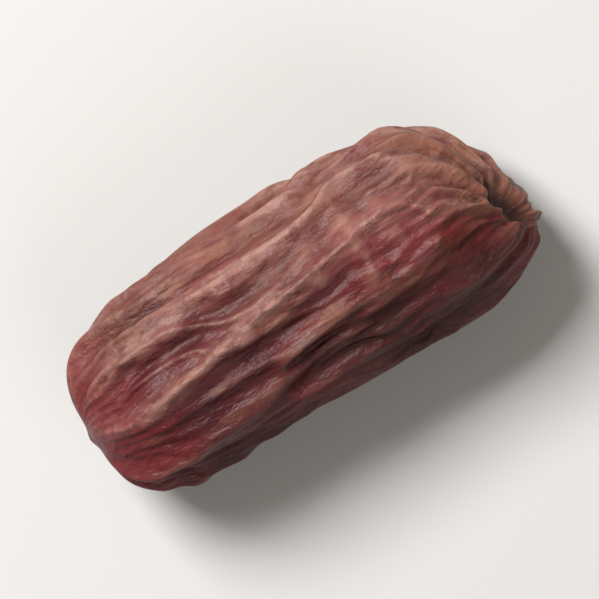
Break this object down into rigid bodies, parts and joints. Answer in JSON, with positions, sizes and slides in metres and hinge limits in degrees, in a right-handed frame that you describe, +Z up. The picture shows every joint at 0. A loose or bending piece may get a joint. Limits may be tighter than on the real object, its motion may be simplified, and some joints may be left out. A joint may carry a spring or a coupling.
{
  "type": "mordasang date",
  "caption": "Whole semi-dry date, dark red-brown and deeply wrinkled along its length, lying on its side with a puckered hollow at the stem end.",
  "frame": {"origin": "centre of the date's box in plan, on the surface that it lies on", "axes": "+X along the fruit towards its stem end, +Z up from the surface"},
  "size_m": [0.0384, 0.0172, 0.0156],
  "materials": {
    "date_skin": "thin, waxy, semi-gloss wrinkled fruit skin"
  },
  "bodies": {
    "root": {"date": "date_skin"}
  },
  "joints": []
}
